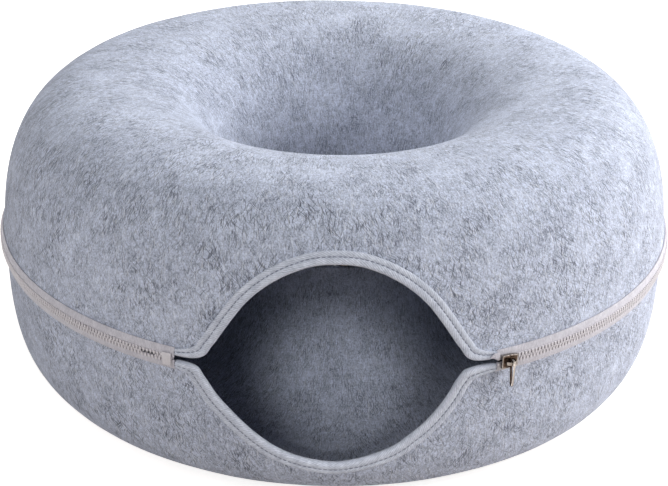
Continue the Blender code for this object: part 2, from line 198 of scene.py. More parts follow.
def melange_felt():
    """Needle-punched polyester felt: mixed pale and dark grey fibres, which make it cloudy and matt, with a soft
    bloom at the edges. The fibres are drawn three times as coarse as real ones, so that they show in a picture of
    the whole tunnel."""
    made, tree, shader = surface("melange_felt", Roughness=0.95, Sheen_Weight=0.25, Sheen_Roughness=0.5,
                                 Sheen_Tint=colour("#E6ECFA"), Specular_IOR_Level=0.15)
    here = add(tree, "ShaderNodeTexCoord").outputs["Object"]
    marks, mixed = {}, 0.0
    for name, (per_metre, roughness, distortion, share) in WEB_MARKS.items():
        marks[name] = add(tree, "ShaderNodeTexNoise", {
            "Vector": here, "Scale": per_metre, "Detail": 2, "Roughness": roughness, "Distortion": distortion})
        mixed = add(tree, "ShaderNodeMath", {0: marks[name], 1: share, 2: mixed}, operation="MULTIPLY_ADD")
    ramp = add(tree, "ShaderNodeValToRGB", {"Fac": mixed})
    for place, code in WEB_SHADES[2:]:
        ramp.color_ramp.elements.new(place)
    for element, (place, code) in zip(ramp.color_ramp.elements, WEB_SHADES):
        element.position = place
        element.color = colour(code)
    shade = ramp.outputs["Color"]
    # Single fibres lie in locks, most of them along the section, the way the web was stretched over the mould.
    # Their places are taken round the ring, and along the section shrunk by the fibres' slimness.
    bent = add(tree, "ShaderNodeTexNoise", {"Vector": here, "Scale": BENDS_PER_METRE, "Detail": 1})
    bend = add(tree, "ShaderNodeVectorMath", {0: bent.outputs["Color"], "Scale": BEND_SIZE}, operation="SCALE")
    lying = add(tree, "ShaderNodeVectorMath", {0: here, 1: bend}, operation="ADD")
    middle = (BEND_SIZE / 2, BEND_SIZE / 2, BEND_SIZE / 2 + SEAM_HEIGHT)
    lying = add(tree, "ShaderNodeVectorMath", {0: lying, 1: middle}, operation="SUBTRACT")
    split = add(tree, "ShaderNodeSeparateXYZ", {"Vector": lying})
    level = add(tree, "ShaderNodeCombineXYZ", {"X": split.outputs["X"], "Y": split.outputs["Y"]})
    radius = add(tree, "ShaderNodeVectorMath", {0: level}, operation="LENGTH")
    out = add(tree, "ShaderNodeMath", {0: radius.outputs["Value"], 1: SEAM_RADIUS - FELT_SET_IN - CROWN_INSET},
              operation="SUBTRACT")
    turn = add(tree, "ShaderNodeMath", {0: split.outputs["Z"], 1: out}, operation="ARCTAN2")
    along = add(tree, "ShaderNodeMath", {0: turn, 1: SECTION_RADIUS / FIBRE_SLIMNESS}, operation="MULTIPLY")
    along = add(tree, "ShaderNodeCombineXYZ", {"Z": along})
    facing = add(tree, "ShaderNodeVectorMath", {0: level}, operation="NORMALIZE")
    round_ring = add(tree, "ShaderNodeVectorMath", {0: facing, "Scale": SEAM_RADIUS}, operation="SCALE")
    web = add(tree, "ShaderNodeVectorMath", {0: round_ring, 1: along}, operation="ADD")
    locks = add(tree, "ShaderNodeTexNoise", {
        "Vector": here, "Scale": LOCKS_PER_METRE, "Detail": 2.5, "Roughness": 0.6})
    darks = add(tree, "ShaderNodeMapRange", {
        "Value": locks, "From Min": LOCK_EDGE[0], "From Max": LOCK_EDGE[1],
        "To Min": DARK_FIBRE_AMOUNTS[0], "To Max": DARK_FIBRE_AMOUNTS[1]})
    layers = [(slant, DARK_FIBRE, darks) for slant in FIBRE_SLANTS[:-1]]
    layers.append((FIBRE_SLANTS[-1], PALE_FIBRE, PALE_FIBRE_AMOUNT))
    for number, (slant, code, share) in enumerate(layers):
        lean = add(tree, "ShaderNodeMath", {0: turn, 1: slant}, operation="MULTIPLY")
        leaned = add(tree, "ShaderNodeVectorRotate", {"Vector": web, "Angle": lean}, rotation_type="Z_AXIS")
        layer = add(tree, "ShaderNodeVectorMath", {0: leaned, 1: (0.0, 0.0, FIBRE_LAYER_STEP * number)},
                    operation="ADD")
        strand = add(tree, "ShaderNodeTexNoise", {"Vector": layer, "Scale": FIBRES_PER_METRE, "Detail": 0})
        line = add(tree, "ShaderNodeMapRange", {
            "Value": strand, "From Min": FIBRE_EDGE[0], "From Max": FIBRE_EDGE[1]})
        amount = add(tree, "ShaderNodeMath", {0: line, 1: share}, operation="MULTIPLY")
        fibre = add(tree, "ShaderNodeMix", {"Factor": amount, "A": shade, "B": colour(code)}, data_type="RGBA")
        shade = fibre.outputs["Result"]
    rough = add(tree, "ShaderNodeMath", {0: marks["flocks"], 1: 0.5}, operation="MULTIPLY")
    rough = add(tree, "ShaderNodeMath", {0: marks["grain"], 1: 0.5, 2: rough}, operation="MULTIPLY_ADD")
    bump = add(tree, "ShaderNodeBump", {"Height": rough, "Strength": 0.55, "Distance": NAP_HEIGHT})
    feed(tree, shader, {"Base Color": shade, "Normal": bump})
    return made


# The formula of the felt's section, a Math node to each step: its name, the operation, and its values, which are
# numbers, the tree's named inputs or earlier steps. It starts from the azimuth, from the share of the way along
# the section, and from the height of the arch over the entrance.
SECTION_STEPS = (
    ("sweep", "MULTIPLY", "along", math.pi),
    ("free", "SINE", "sweep"),
    ("sweep cosine", "COSINE", "sweep"),
    ("risen", "SUBTRACT", 1.0, "sweep cosine"),
    ("eased", "MULTIPLY", "risen", 0.5),
    # The turn runs from the seam, or from the entrance's edge under the binding, to the waist.
    ("arch height", "MULTIPLY", "arch", "Entrance height"),
    ("covered", "ADD", "arch height", "Edge cover"),
    ("start height", "MAXIMUM", "covered", "Edge height"),
    ("tall", "ADD", "Height", "Settle"),
    ("half wall power", "DIVIDE", "Wall power", 2.0),
    ("half hole power", "DIVIDE", "Hole power", 2.0),
    ("start share", "DIVIDE", "start height", "tall"),
    ("start sine", "POWER", "start share", "half wall power"),
    ("start", "ARCSINE", "start sine"),
    ("end share", "DIVIDE", "Edge height", "tall"),
    ("end sine", "POWER", "end share", "half hole power"),
    ("end angle", "ARCSINE", "end sine"),
    ("end", "SUBTRACT", math.pi, "end angle"),
    ("full turn", "SUBTRACT", "end", "start"),
    ("turn", "MULTIPLY_ADD", "full turn", "eased", "start"),
    # Before the crown the section has the wall's power and reach, and past it those of the hole.
    ("past crown", "GREATER_THAN", "turn", math.pi / 2),
    ("before crown", "SUBTRACT", 1.0, "past crown"),
    ("power change", "SUBTRACT", "Hole power", "Wall power"),
    ("power", "MULTIPLY_ADD", "past crown", "power change", "Wall power"),
    ("share", "DIVIDE", 2.0, "power"),
    ("turn sine", "SINE", "turn"),
    ("up share", "POWER", "turn sine", "share"),
    ("unsettled", "MULTIPLY", "tall", "up share"),
    ("height", "MINIMUM", "unsettled", "Height"),
    ("turn cosine", "COSINE", "turn"),
    ("out", "ABSOLUTE", "turn cosine"),
    ("out share", "POWER", "out", "share"),
    ("wall reach", "SUBTRACT", "Wall radius", "Crown radius"),
    ("hole reach", "SUBTRACT", "Hole radius", "Crown radius"),
    ("reach change", "SUBTRACT", "hole reach", "wall reach"),
    ("reach", "MULTIPLY_ADD", "past crown", "reach change", "wall reach"),
    ("plain radius", "MULTIPLY_ADD", "out share", "reach", "Crown radius"),
    # The outer wall flares at the seam, and both walls puff up beside the tapes.
    ("flare place", "DIVIDE", "height", "Flare reach"),
    ("flare square", "MULTIPLY", "flare place", "flare place"),
    ("flare fall", "MULTIPLY", "flare square", -1.0),
    ("flare bell", "EXPONENT", "flare fall"),
    ("flare swell", "MULTIPLY", "flare bell", "Flare"),
    ("flared", "MULTIPLY", "flare swell", "before crown"),
    ("puff middle", "SUBTRACT", "height", "Puff height"),
    ("puff place", "DIVIDE", "puff middle", "Puff reach"),
    ("puff square", "MULTIPLY", "puff place", "puff place"),
    ("puff fall", "MULTIPLY", "puff square", -1.0),
    ("puff bell", "EXPONENT", "puff fall"),
    ("puff swell", "MULTIPLY", "puff bell", "Puff"),
    ("outwards", "MULTIPLY_ADD", "past crown", -2.0, 1.0),
    ("azimuth size", "ABSOLUTE", "azimuth"),
    ("beyond", "GREATER_THAN", "azimuth size", "Entrance angle"),
    ("puff out", "MULTIPLY", "puff swell", "outwards"),
    ("puffed", "MULTIPLY", "puff out", "beyond"),
    ("swollen", "ADD", "flared", "puffed"),
    ("radius", "ADD", "plain radius", "swollen"),
    ("level", "MULTIPLY_ADD", "height", "Side", "Seam height"),
    ("facing", "SUBTRACT", "azimuth", math.pi / 2),
    ("over edge", "SUBTRACT", "height", "covered"),
)


def felt_tree():
    """A half ring of felt: a grid laid round the ring and along the section, with the entrance left open."""
    tree, given, out = node_group("felt_half", Int=("Columns", "Rows"), Material=("Felt",), Float=(
        "Side", "Seam height", "Height", "Settle", "Wall power", "Hole power", "Wall radius", "Crown radius",
        "Hole radius", "Flare", "Flare reach", "Edge height", "Puff", "Puff height", "Puff reach",
        "Entrance angle", "Entrance height", "Edge cover", "Pressed", "Press reach", "Dent depth", "Dent scale"))
    known = {socket.name: socket for socket in given.outputs}
    grid = add(tree, "GeometryNodeMeshGrid", {
        "Size X": 1.0, "Size Y": 1.0, "Vertices X": known["Columns"], "Vertices Y": known["Rows"]})
    at = add(tree, "ShaderNodeSeparateXYZ", {"Vector": add(tree, "GeometryNodeInputPosition")})
    azimuth = add(tree, "ShaderNodeMath", {0: at.outputs["X"], 1: math.tau}, operation="MULTIPLY")
    along = add(tree, "ShaderNodeMath", {0: at.outputs["Y"], 1: 0.5}, operation="ADD")
    # The arch's curve runs from the left corner of the entrance (0) to the right one (1).
    left = add(tree, "ShaderNodeMath", {0: known["Entrance angle"], 1: -1.0}, operation="MULTIPLY")
    across = add(tree, "ShaderNodeMapRange", {
        "Value": azimuth, "From Min": left, "From Max": known["Entrance angle"]})
    arch = add(tree, "ShaderNodeFloatCurve", {"Value": across})
    known.update(azimuth=azimuth, along=along, arch=arch)
    for name, operation, *values in SECTION_STEPS:
        inputs = {spot: known.get(value, value) for spot, value in enumerate(values)}
        known[name] = add(tree, "ShaderNodeMath", inputs, operation=operation)
    sideways = add(tree, "ShaderNodeCombineXYZ", {"X": known["radius"], "Z": known["level"]})
    place = add(tree, "ShaderNodeVectorRotate", {"Vector": sideways, "Angle": known["facing"]},
                rotation_type="Z_AXIS")
    # The felt is pressed thin under the binding, and comes back to its full thickness beside it.
    fuller = add(tree, "ShaderNodeMapRange", {
        "Value": known["over edge"], "From Min": known["Edge cover"], "From Max": known["Press reach"],
        "To Min": known["Pressed"]}, interpolation_type="SMOOTHSTEP")
    full = add(tree, "ShaderNodeMath", {0: fuller, 1: known["beyond"]}, operation="MAXIMUM")
    full = add(tree, "ShaderNodeMath", {0: full, 1: known["past crown"]}, operation="MAXIMUM")
    held = add(tree, "GeometryNodeCaptureAttribute", {"Geometry": grid.outputs["Mesh"]})
    for name, value in (("Free", known["free"]), ("Full", full)):
        held.capture_items.new("FLOAT", name)
        feed(tree, held, {name: value})
    laid = add(tree, "GeometryNodeSetPosition", {"Geometry": held.outputs["Geometry"], "Position": place})
    closed = add(tree, "GeometryNodeMergeByDistance", {"Geometry": laid, "Distance": MERGE_DISTANCE})
    # The dents fade out towards both edges, which are held by the tapes.
    noise = add(tree, "ShaderNodeTexNoise", {"Scale": known["Dent scale"], "Detail": 2.0, "Roughness": 0.45})
    wave = add(tree, "ShaderNodeMath", {0: noise, 1: 0.5}, operation="SUBTRACT")
    wave = add(tree, "ShaderNodeMath", {0: wave, 1: known["Dent depth"]}, operation="MULTIPLY")
    free = add(tree, "ShaderNodeMath", {0: held.outputs["Free"], 1: 1.5}, operation="POWER")
    wave = add(tree, "ShaderNodeMath", {0: wave, 1: free}, operation="MULTIPLY")
    normal = add(tree, "GeometryNodeInputNormal")
    push = add(tree, "ShaderNodeVectorMath", {0: normal, "Scale": wave}, operation="SCALE")
    dented = add(tree, "GeometryNodeSetPosition", {"Geometry": closed, "Offset": push})
    smooth = add(tree, "GeometryNodeSetShadeSmooth", {"Geometry": dented, "Shade Smooth": True})
    noted = add(tree, "GeometryNodeStoreNamedAttribute", {
        "Geometry": smooth, "Name": "full", "Value": held.outputs["Full"]})
    finish_group(tree, out, noted, known["Felt"])
    return tree, arch


def draw_arch(curve, half):
    """Set the Float Curve to the entrance's edge, as the share of its height."""
    left, right = half["shares"]
    slit = SLIT_HALF_HEIGHT / half["arch"]
    shares = [(0.5 - across / 2, max(up, slit)) for across, up in left[:0:-1]]
    shares += [(0.5 + across / 2, max(up, slit)) for across, up in right]
    line = curve.mapping.curves[0]
    for across, up in shares[1:-1]:
        line.points.new(across, up)
    line.points[0].location = shares[0]
    line.points[-1].location = shares[-1]
    for point in line.points:
        point.handle_type = "AUTO"
    curve.mapping.update()


felt = melange_felt()
wall_radius = SEAM_RADIUS - FELT_SET_IN
for name, half in HALVES.items():
    shape, edge_curve = felt_tree()
    draw_arch(edge_curve, half)
    shell = grown(f"felt_{name}_half", shape, {
        "Columns": FELT_COLUMNS + 1, "Rows": FELT_ROWS + 1, "Side": float(half["side"]),
        "Seam height": SEAM_HEIGHT, "Height": half["height"], "Settle": half["settle"],
        "Wall power": half["power"], "Hole power": HOLE_WALL_POWER, "Wall radius": wall_radius,
        "Crown radius": wall_radius - CROWN_INSET, "Hole radius": HOLE_RADIUS, "Flare": SEAM_FLARE,
        "Flare reach": FLARE_REACH, "Edge height": FELT_EDGE, "Puff": FELT_PUFF, "Puff height": PUFF_HEIGHT,
        "Puff reach": PUFF_REACH, "Entrance angle": ENTRANCE_HALF_WIDTH / SEAM_RADIUS,
        "Entrance height": half["arch"], "Edge cover": EDGE_COVER, "Pressed": BOUND_THICKNESS / FELT_THICKNESS,
        "Press reach": PRESS_REACH, "Dent depth": DENT_DEPTH, "Dent scale": 1 / DENT_SIZE, "Felt": felt,
    })
    half["edge"] = edge_curve.mapping
    if half["side"] < 0:
        shell.data.flip_normals()
    wall = shell.modifiers.new("thickness", "SOLIDIFY")
    wall.thickness = FELT_THICKNESS
    wall.offset = -1
    full = shell.vertex_groups.new(name="full")
    for vertex, share in enumerate(shell.data.attributes["full"].data):
        full.add([vertex], share.value, "REPLACE")
    wall.vertex_group = full.name
    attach(shell, f"{name}_half")
    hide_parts(f"{name}_felt_shell")

# Entrance bindings. Pale twill tape, folded along its length over the cut felt, which it presses thin, and sewn
# through both legs with one row of lockstitch. The ends narrow and are tucked in at the corners.
BINDING_WIDTH = 0.0088
BINDING_END_WIDTH = 0.005
BINDING_THICKNESS = 0.0012
TOUCH_GAP = 0.0003
NOSE_DEPTH = 0.0019
NOSE_BACK = 0.0029
NOSE_TURNS = np.radians(np.linspace(75, -75, 9))
STITCH_PLACE = 0.56
STITCH_PITCH = 0.0034
STITCH_LENGTH = 0.0027
STITCH_WIDTH = 0.0007
STITCH_LIFT = 0.0011
PUCKER = 0.00012
# The outer leg from its edge to the fold: the share of the width, metres more, the lift, and how far it puckers
# between the stitches. Then the inner leg from the fold and back, with its lift from the tape's lowest face.
OUTER_LEG = ((1, 0, 0.0003, 0), (1, 0, 0.001, 0), (1, -0.0005, 0.00145, 0), (0.78, 0, 0.00165, PUCKER),
             (STITCH_PLACE + 0.09, 0, 0.00135, PUCKER), (STITCH_PLACE, 0, 0.00085, 0),
             (STITCH_PLACE - 0.09, 0, 0.00135, -PUCKER), (0.38, 0, 0.0017, -PUCKER))
INNER_LEG = ((0.6, 0, 0), (1, -0.0004, 0.0001), (1, 0, 0.0005), (1, 0, BINDING_THICKNESS),
             (0, NOSE_BACK, BINDING_THICKNESS))
SECTION_STOPS = 1441
BINDING_STEPS = 560
END_STEPS = 6
TAPE_SHARP_ANGLE = math.radians(60)
CORNER = ENTRANCE_HALF_WIDTH / SEAM_RADIUS


class Skin:
    """The outer surface of a half, by azimuth and by reach, the distance from the seam along the section."""

    def __init__(self, half):
        turn = np.linspace(0, math.pi, SECTION_STOPS)
        wall = turn <= math.pi / 2
        share = 2 / np.where(wall, half["power"], HOLE_WALL_POWER)
        tall = half["height"] + half["settle"]
        self.side = half["side"]
        self.heights = np.minimum(tall * np.abs(np.sin(turn)) ** share, half["height"])
        crown = wall_radius - CROWN_INSET
        self.radii = crown + np.where(wall, CROWN_INSET, HOLE_RADIUS - crown) * np.abs(np.cos(turn)) ** share
        self.radii += np.where(wall, SEAM_FLARE * np.exp(-(self.heights / FLARE_REACH) ** 2), 0)
        steps = np.hypot(np.diff(self.radii), np.diff(self.heights))
        self.reaches = np.concatenate([[0], np.cumsum(steps)])
        along = np.gradient(np.stack([self.radii, self.heights], axis=1), axis=0)
        along /= np.linalg.norm(along, axis=1)[:, None]
        self.outwards, self.upwards = along[:, 1], -along[:, 0]

    def reach_at(self, height):
        """The reach on the outer wall at this height from the seam."""
        crown = int(np.argmax(self.heights)) + 1
        return np.interp(height, self.heights[:crown], self.reaches[:crown])

    def place(self, azimuth, reach, lift):
        """Places at these azimuths and reaches, lifted off the surface."""
        radius, height, outwards, upwards = (
            np.interp(reach, self.reaches, row) for row in (self.radii, self.heights, self.outwards, self.upwards))
        return ring(azimuth, radius + lift * outwards, self.side * (height + lift * upwards))


def ring(azimuth, radius, height):
    """Places at these azimuths from the front, radii from the axis and heights from the seam."""
    azimuth, radius, height = np.broadcast_arrays(azimuth, radius, height)
    return np.stack([radius * np.sin(azimuth), -radius * np.cos(azimuth), SEAM_HEIGHT + height], axis=-1)


def strip(name, places, lengths, look):
    """A closed tape from outlines along it, with a UV map in metres: U along the tape and V round its outline."""
    rows, across = places.shape[:2]
    girth = np.linalg.norm(np.diff(places[:, [*range(across), 0]], axis=1), axis=2).mean(axis=0)
    spans = np.concatenate([[0], np.cumsum(girth)])
    faces, corners = [], []
    for row in range(rows - 1):
        for spot in range(across):
            after = (spot + 1) % across
            faces.append((row * across + spot, row * across + after, (row + 1) * across + after,
                          (row + 1) * across + spot))
            here, there = lengths[row], lengths[row + 1]
            corners += [(here, spans[spot]), (here, spans[spot + 1]), (there, spans[spot + 1]),
                        (there, spans[spot])]
    caps = [tuple(range(across)), tuple(range((rows - 1) * across, rows * across))]
    data = bpy.data.meshes.new(name)
    data.from_pydata(places.reshape(-1, 3).tolist(), [], faces + caps)
    corners += [(0.0, 0.0)] * (2 * across)
    data.uv_layers.new(name="tape").data.foreach_set("uv", np.array(corners, dtype=np.float32).ravel())
    mesh = bmesh.new()
    mesh.from_mesh(data)
    bmesh.ops.recalc_face_normals(mesh, faces=mesh.faces)
    mesh.to_mesh(data)
    mesh.free()
    data.shade_smooth()
    data.set_sharp_from_angle(angle=TAPE_SHARP_ANGLE)
    data.materials.append(look)
    return linked(name, data)


# Yarns are drawn 0.9 mm apart, twice as coarse as real ones, so that they show, and the tape is uneven every 6 mm.
YARNS_PER_METRE = 1100
YARN_LENGTH = 1 / 0.3
UNEVEN_PER_METRE = 160
YARN_SHARE, UNEVEN_SHARE = 0.8, 0.6
# The weave's darkest and palest sums: for the yarns alone, and more for each unit of ribs.
DARKEST, PALEST = (0.48, 0.25), (0.92, 0.75)
RIB_HEIGHT = 0.0004
WAVE_PITCH = math.tau / 20


def woven(name, pale, dark, pitch, slant, ribbed):
    """Woven polyester tape, with ribs of this pitch at this slant: a dull sheen, and yarns of uneven colour."""
    made, tree, shader = surface(name, Roughness=0.55, Sheen_Weight=0.15, Sheen_Roughness=0.35)
    along = add(tree, "ShaderNodeUVMap", uv_map="tape").outputs["UV"]
    turned = add(tree, "ShaderNodeMapping", {"Vector": along, "Rotation": (0, 0, slant)})
    ribs = add(tree, "ShaderNodeTexWave", {"Vector": turned, "Scale": WAVE_PITCH / pitch,
                                           "Distortion": 2.5, "Detail": 2.0, "Detail Scale": 3.0},
               bands_direction="X")
    drawn = add(tree, "ShaderNodeMapping", {"Vector": turned, "Scale": (1.0, 1 / YARN_LENGTH, 1.0)})
    yarns = add(tree, "ShaderNodeTexNoise", {
        "Vector": drawn, "Scale": YARNS_PER_METRE, "Detail": 2, "Roughness": 0.7})
    here = add(tree, "ShaderNodeTexCoord").outputs["Object"]
    uneven = add(tree, "ShaderNodeTexNoise", {
        "Vector": here, "Scale": UNEVEN_PER_METRE, "Detail": 3, "Roughness": 0.6})
    weave = 0.0
    for pattern, share in ((ribs, ribbed), (yarns, YARN_SHARE), (uneven, UNEVEN_SHARE)):
        weave = add(tree, "ShaderNodeMath", {0: pattern.outputs["Fac"], 1: share, 2: weave},
                    operation="MULTIPLY_ADD")
    spread = add(tree, "ShaderNodeMapRange", {
        "Value": weave, "From Min": DARKEST[0] + DARKEST[1] * ribbed, "From Max": PALEST[0] + PALEST[1] * ribbed})
    shade = add(tree, "ShaderNodeMix", {"Factor": spread, "A": colour(dark), "B": colour(pale)},
                data_type="RGBA")
    bump = add(tree, "ShaderNodeBump", {"Height": weave, "Strength": 0.5, "Distance": RIB_HEIGHT})
    feed(tree, shader, {"Base Color": shade.outputs["Result"], "Normal": bump})
    return made


def stitch_tree():
    """Lockstitches along a line: short raised threads, one to each pitch."""
    tree, given, out = node_group("lockstitch", Float=("Pitch", "Length", "Width"), Material=("Thread",))
    line = add(tree, "GeometryNodeMeshToCurve", {"Mesh": given.outputs["Geometry"]})
    spots = add(tree, "GeometryNodeResampleCurve", {"Curve": line, "Length": given.outputs["Pitch"]},
                mode="LENGTH")
    tangent = add(tree, "GeometryNodeInputTangent")
    turn = add(tree, "FunctionNodeAlignRotationToVector", {"Vector": tangent}, axis="X")
    thread = add(tree, "GeometryNodeMeshIcoSphere", {"Radius": 0.5, "Subdivisions": 2})
    size = add(tree, "ShaderNodeCombineXYZ", {
        "X": given.outputs["Length"], "Y": given.outputs["Width"], "Z": given.outputs["Width"]})
    laid = add(tree, "GeometryNodeInstanceOnPoints", {
        "Points": spots, "Instance": thread, "Rotation": turn, "Scale": size})
    smooth = add(tree, "GeometryNodeSetShadeSmooth", {"Geometry": laid, "Shade Smooth": True})
    finish_group(tree, out, smooth, given.outputs["Thread"])
    return tree


def entrance_edge(half, skin):
    """The entrance's edge at even steps: azimuth, reach, length so far, and the direction across it, into the
    felt, as azimuth and reach for each metre."""
    share = np.linspace(0, 1, 4 * BINDING_STEPS + 1)
    line = half["edge"].curves[0]
    heights = np.array([half["edge"].evaluate(line, spot) for spot in share]) * half["arch"]
    azimuth, reach = (2 * share - 1) * CORNER, skin.reach_at(heights)
    radius = np.interp(reach, skin.reaches, skin.radii)
    length = np.concatenate([[0], np.cumsum(np.hypot(np.diff(azimuth) * radius[1:], np.diff(reach)))])
    even = np.linspace(0, length[-1], BINDING_STEPS + 1)
    azimuth, reach, radius = (np.interp(even, length, row) for row in (azimuth, reach, radius))
    run, rise = np.gradient(azimuth) * radius, np.gradient(reach)
    size = np.hypot(run, rise)
    easing = np.minimum(1, even / BINDING_WIDTH) * np.minimum(1, even[::-1] / BINDING_WIDTH)
    slope = -rise / size * easing
    return azimuth, reach, even, (slope / radius, np.sqrt(1 - slope ** 2))


# Pale grey twill: slanted ribs 1.2 mm apart, which catch the light on one side.
twill = woven("twill_binding", "#DCE1EE", "#9DA3B3", 0.0012, math.radians(58), 0.28)
# Spun polyester thread: matt, a shade darker than the tape, and uneven where its plies turn, every 0.7 mm.
PLY_TURNS_PER_METRE = 1400
thread, thread_tree, thread_shader = surface("sewing_thread", Roughness=0.6)
here = add(thread_tree, "ShaderNodeTexCoord").outputs["Object"]
plies = add(thread_tree, "ShaderNodeTexNoise", {"Vector": here, "Scale": PLY_TURNS_PER_METRE, "Detail": 1})
twisted = add(thread_tree, "ShaderNodeMix", {
    "Factor": plies, "A": colour("#6E7484"), "B": colour("#8A90A0")}, data_type="RGBA")
feed(thread_tree, thread_shader, {"Base Color": twisted.outputs["Result"]})
lockstitch = stitch_tree()
skins = {name: Skin(half) for name, half in HALVES.items()}
for name, half in HALVES.items():
    skin = skins[name]
    azimuth, reach, length, (sideways, inwards) = entrance_edge(half, skin)
    ends = np.minimum((CORNER - np.abs(azimuth)) * SEAM_RADIUS / (2 * BINDING_WIDTH), 1)
    width = BINDING_END_WIDTH + (BINDING_WIDTH - BINDING_END_WIDTH) * ends
    top, foot = TOUCH_GAP + BINDING_THICKNESS, -BOUND_THICKNESS - TOUCH_GAP - BINDING_THICKNESS
    wave = np.sin(math.tau * length / STITCH_PITCH)
    outline = [(width * share + more, lift + pucker * wave) for share, more, lift, pucker in OUTER_LEG]
    outline += [((1 - math.cos(turn)) * NOSE_DEPTH, (top + foot) / 2 + math.sin(turn) * (top - foot) / 2)
                for turn in NOSE_TURNS]
    outline += [(width * share + more, foot + lift) for share, more, lift in INNER_LEG]
    outline.append((NOSE_BACK, TOUCH_GAP))
    places = np.stack([skin.place(azimuth + sideways * across, reach + inwards * across, lift)
                       for across, lift in outline], axis=1)
    binding = strip(f"binding_{name}", places, length, twill)
    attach(binding, f"{name}_half")
    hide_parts(f"{name}_entrance_binding")
    sewn = width * STITCH_PLACE
    line = skin.place(azimuth + sideways * sewn, reach + inwards * sewn, STITCH_LIFT)[END_STEPS:-END_STEPS]
    seam = bpy.data.meshes.new("seam_line")
    seam.from_pydata(line.tolist(), [(spot, spot + 1) for spot in range(len(line) - 1)], [])
    stitches = grown(f"stitches_{name}", lockstitch, {
        "Pitch": STITCH_PITCH, "Length": STITCH_LENGTH, "Width": STITCH_WIDTH, "Thread": thread}, seam)
    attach(stitches, f"{name}_half")

# Zip tapes. Woven polyester tape, ribbed across, with one edge in the teeth and the other sewn to the felt. One
# pair runs round the outside between the corners of the entrance, and one round the waist of the hole.
TAPE_THICKNESS = 0.0008
TAPE_KNEE = 0.0047
TAPE_CHAIN_EDGE = 0.0009
TAPE_HALF_HEIGHT = 0.0076
TEETH_DEPTH = 0.0025
TAPE_FRONT, TAPE_BACK = (TEETH_DEPTH - TAPE_THICKNESS) / 2, (TEETH_DEPTH + TAPE_THICKNESS) / 2
# The tape's outline in the chain: the height from the seam, and the depth under the faces of the teeth.
CHAIN_OUTLINE = ((TAPE_KNEE, TAPE_BACK), (TAPE_CHAIN_EDGE, TAPE_BACK), (TAPE_CHAIN_EDGE, TAPE_FRONT),
                 (TAPE_KNEE - 0.001, TAPE_FRONT), (TAPE_KNEE, TAPE_FRONT + 0.0001))
NEAR_FELT = 0.75
WAIST_RADIUS = HOLE_RADIUS - TOUCH_GAP - (TEETH_DEPTH + TAPE_THICKNESS) / 2
ZIPS = {
    "outer": {"face": 1, "radius": SEAM_RADIUS, "end": CORNER, "steps": 900},
    "inner": {"face": -1, "radius": WAIST_RADIUS, "end": TOUCH_GAP / WAIST_RADIUS, "steps": 420},
}

# Warm pale grey tape: straight ribs 1.1 mm apart, across its length.
ribbed_tape = woven("zip_tape", "#D4D2DA", "#A7A4AE", 0.0011, 0.0, 0.3)
for zip_name, closure in ZIPS.items():
    start = closure["end"] + TOUCH_GAP / closure["radius"]
    azimuth = np.linspace(start, math.tau - start, closure["steps"])
    for name, half in HALVES.items():
        skin = skins[name]
        reach = skin.reach_at(TAPE_HALF_HEIGHT) if closure["face"] > 0 else skin.reaches[-1] - TAPE_HALF_HEIGHT
        chain = [ring(azimuth, closure["radius"] - closure["face"] * depth, half["side"] * height)
                 for height, depth in CHAIN_OUTLINE]
        outer, inner = (skin.place(azimuth, reach, lift) for lift in (TOUCH_GAP + TAPE_THICKNESS, TOUCH_GAP))
        near_felt = (1 - NEAR_FELT) * chain[-1] + NEAR_FELT * outer
        places = np.stack([*chain, near_felt, outer, 0.5 * (outer + inner), inner], axis=1)
        tape = strip(f"{zip_name}_zip_tape_{name}", places, azimuth * closure["radius"], ribbed_tape)
        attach(tape, f"{name}_half")
        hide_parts(f"{zip_name}_zip_{name}_tape")

# Folded tape end. The starting end of the outer zip's upper tape is folded narrow, laid over the end of the
# binding and sewn down there, so that it can't fray. It is the same ribbed tape.
FOLD_REACH = 0.0052
FOLD_OVERLAP = 0.0013
FOLD_STEPS = 25
FOLD_THICKNESS = 0.0009
FOLD_LIFT, FOLD_BULGE = 0.0021, 0.0003
FOLD_TIP, FOLD_SPREAD = 0.0005, 0.0021
FOLD_HEIGHT, FOLD_RISE, FOLD_WAVE = 0.0040, 0.0009, 0.0004
FOLD_OUTLINE = ((-1, 0), (-0.8, 0.6), (-0.4, 0.9), (0, 0.55), (0.35, 0.85), (0.8, 1), (1, 0.5), (0.9, 0),
                (0, -0.1))
along = np.linspace(-FOLD_REACH, FOLD_OVERLAP, FOLD_STEPS)
opened = (along + FOLD_REACH) / (FOLD_OVERLAP + FOLD_REACH)
half_width = FOLD_TIP + FOLD_SPREAD * np.sin(opened * math.pi / 2)
middle = FOLD_HEIGHT + FOLD_RISE * opened + FOLD_WAVE * np.sin(opened * math.tau)
lift = FOLD_LIFT + FOLD_BULGE * np.sin(opened * math.pi)
skin = skins["upper"]
places = np.stack([skin.place(CORNER + along / SEAM_RADIUS, skin.reach_at(middle + side * half_width),
                              lift + up * FOLD_THICKNESS) for side, up in FOLD_OUTLINE], axis=1)
folded_end = strip("outer_zip_tape_fold", places, along, ribbed_tape)
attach(folded_end, "upper_half")

